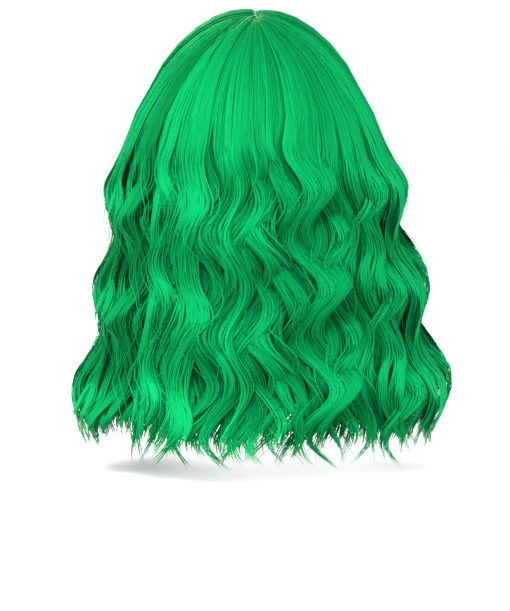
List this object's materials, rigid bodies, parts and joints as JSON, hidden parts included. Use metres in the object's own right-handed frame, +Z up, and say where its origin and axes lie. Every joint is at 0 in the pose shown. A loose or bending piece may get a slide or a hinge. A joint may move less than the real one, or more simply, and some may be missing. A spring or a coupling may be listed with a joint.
{
  "type": "costume wig",
  "caption": "Shoulder-length wavy costume wig in bright green: stretch net cap with weft tracks, parting patch, ear tabs and nape adjusters, hair in hanging curtains and a light fringe.",
  "frame": {"origin": "centre of the head that the cap fits, at the hat line", "axes": "+Z up, -Y towards the wearer's face, +X towards the wearer's left"},
  "size_m": [0.3078, 0.2548, 0.361],
  "materials": {
    "hair_fibre": "fine synthetic fibre, satin sheen",
    "weft_stitching": "sewn thread track",
    "rib_lace": "black lace ribbon",
    "satin_band": "black satin ribbon",
    "cap_net": "black open net",
    "scalp_patch": "soft matt imitation scalp",
    "label_cloth": "woven white tape, blank",
    "loop_tape": "woven black tape",
    "elastic_strap": "ribbed black elastic",
    "hook_plastic": "moulded black plastic",
    "stay_plastic": "coated bendable strip"
  },
  "bodies": {
    "cap": {"crown_net": "cap_net", "parting_patch": "scalp_patch", "front_band": "satin_band", "nape_band": "satin_band", "left_ear_binding": "satin_band", "right_ear_binding": "satin_band", "centre_rib": "rib_lace", "left_rib": "rib_lace", "right_rib": "rib_lace", "blank_size_label": "label_cloth", "back_weft_track_1": "weft_stitching", "back_weft_track_2": "weft_stitching", "back_weft_track_3": "weft_stitching", "back_weft_track_4": "weft_stitching", "back_weft_track_5": "weft_stitching", "back_weft_track_6": "weft_stitching", "back_weft_track_7": "weft_stitching", "back_weft_track_8": "weft_stitching", "left_weft_track_1": "weft_stitching", "left_weft_track_2": "weft_stitching", "left_weft_track_3": "weft_stitching", "right_weft_track_1": "weft_stitching", "right_weft_track_2": "weft_stitching", "right_weft_track_3": "weft_stitching", "left_adjuster_loops": "loop_tape", "right_adjuster_loops": "loop_tape", "left_adjuster_strap": "elastic_strap", "right_adjuster_strap": "elastic_strap", "back_crown_hair": "hair_fibre", "left_crown_hair": "hair_fibre", "right_crown_hair": "hair_fibre"},
    "fringe": {"left_fringe": "hair_fibre", "right_fringe": "hair_fibre"},
    "back_curtain": {"back_left_outer_hair": "hair_fibre", "back_left_inner_hair": "hair_fibre", "back_centre_outer_hair": "hair_fibre", "back_centre_inner_hair": "hair_fibre", "back_right_outer_hair": "hair_fibre", "back_right_inner_hair": "hair_fibre"},
    "left_curtain": {"left_side_outer_hair": "hair_fibre", "left_side_inner_hair": "hair_fibre", "left_front_outer_hair": "hair_fibre", "left_front_inner_hair": "hair_fibre"},
    "right_curtain": {"right_side_outer_hair": "hair_fibre", "right_side_inner_hair": "hair_fibre", "right_front_outer_hair": "hair_fibre", "right_front_inner_hair": "hair_fibre"},
    "left_ear_tab": {"left_ear_tab": "satin_band", "left_tab_stay": "stay_plastic"},
    "right_ear_tab": {"right_ear_tab": "satin_band", "right_tab_stay": "stay_plastic"},
    "left_hook": {"left_adjuster_hook": "hook_plastic"},
    "right_hook": {"right_adjuster_hook": "hook_plastic"}
  },
  "joints": [
    {"name": "fringe_lift", "type": "hinge", "parent": "cap", "child": "fringe", "pos_m": [0, -0.1, 0.0225], "axis": [-1, 0, 0], "range_deg": [0, 40]},
    {"name": "back_curtain_swing", "type": "hinge", "parent": "cap", "child": "back_curtain", "pos_m": [0, 0.102, -0.004], "axis": [1, 0, 0], "range_deg": [0, 20]},
    {"name": "left_curtain_swing", "type": "hinge", "parent": "cap", "child": "left_curtain", "pos_m": [0.098, 0, -0.004], "axis": [0, -1, 0], "range_deg": [0, 20]},
    {"name": "right_curtain_swing", "type": "hinge", "parent": "cap", "child": "right_curtain", "pos_m": [-0.098, 0, -0.004], "axis": [0, 1, 0], "range_deg": [0, 20]},
    {"name": "left_tab_bend", "type": "hinge", "parent": "cap", "child": "left_ear_tab", "pos_m": [0.06535, -0.052, 0.0015], "axis": [0.45, 0.893, 0], "range_deg": [0, 20]},
    {"name": "right_tab_bend", "type": "hinge", "parent": "cap", "child": "right_ear_tab", "pos_m": [-0.06535, -0.052, 0.0015], "axis": [0.45, -0.893, 0], "range_deg": [0, 20]},
    {"name": "left_hook_release", "type": "slide", "parent": "cap", "child": "left_hook", "axis": [-0.8914, 0.4532, 0], "range_m": [0, 0.0044], "stiffness_N_per_m": 40, "springref_m": -0.004, "deforming": ["left_adjuster_strap"]},
    {"name": "right_hook_release", "type": "slide", "parent": "cap", "child": "right_hook", "axis": [0.8914, 0.4532, 0], "range_m": [0, 0.0044], "stiffness_N_per_m": 40, "springref_m": -0.004, "deforming": ["right_adjuster_strap"]}
  ]
}
